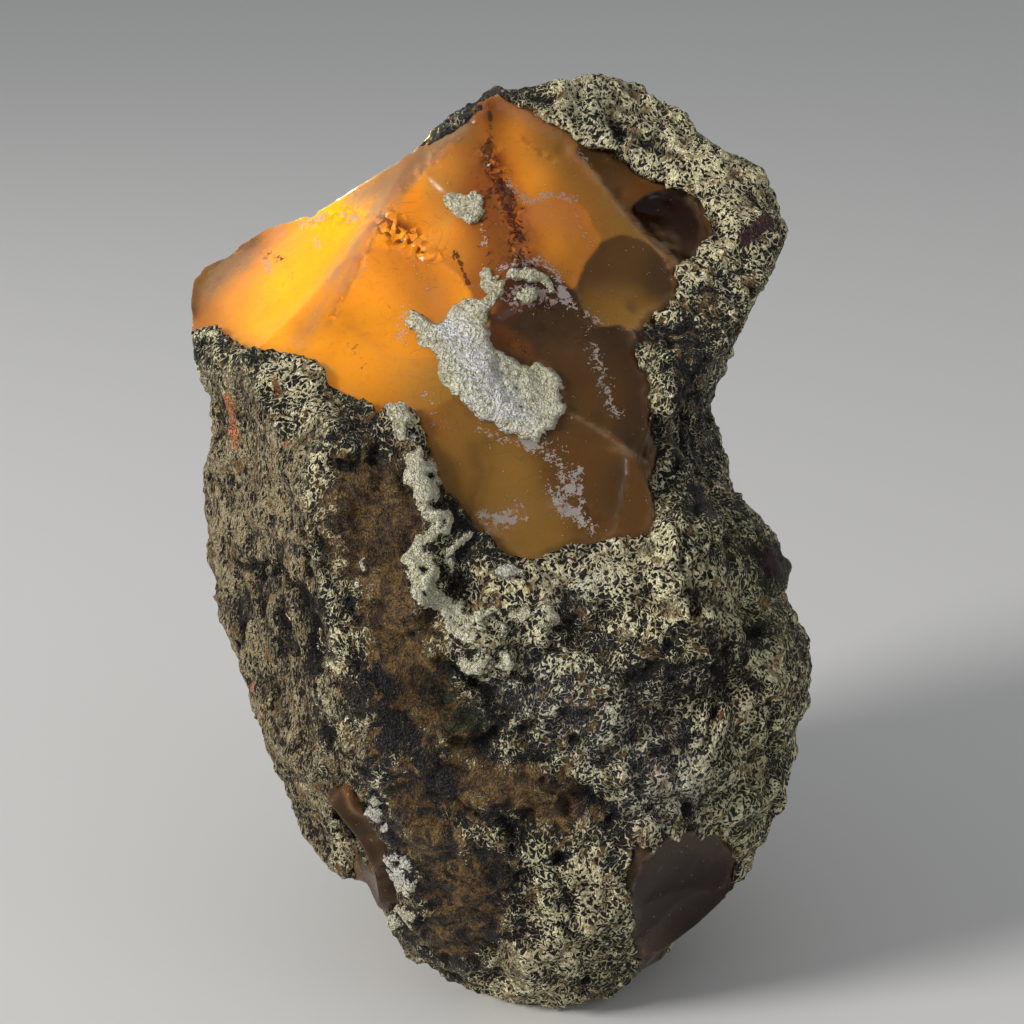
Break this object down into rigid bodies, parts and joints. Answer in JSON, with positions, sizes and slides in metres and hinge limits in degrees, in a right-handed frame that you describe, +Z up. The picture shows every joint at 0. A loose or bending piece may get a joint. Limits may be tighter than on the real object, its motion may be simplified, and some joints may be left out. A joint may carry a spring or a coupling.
{
  "type": "rough fire opal",
  "caption": "Rough fire opal nodule: a glassy orange and honey broken window in a pitted, pale-crusted grey rind, standing on a flat broken foot.",
  "frame": {"origin": "on the ground, under the middle of the stone's bounding box", "axes": "+Z up, -Y out of the broad broken face, +X to the right as seen from that side"},
  "size_m": [0.083, 0.0778, 0.1162],
  "materials": {
    "opal": "glassy conchoidal breaks, orange to honey and smoky brown, milky inside",
    "rind": "rough weathered rind, grey-black with pale cream crust"
  },
  "bodies": {
    "root": {"rough_fire_opal": "opal"}
  },
  "joints": []
}
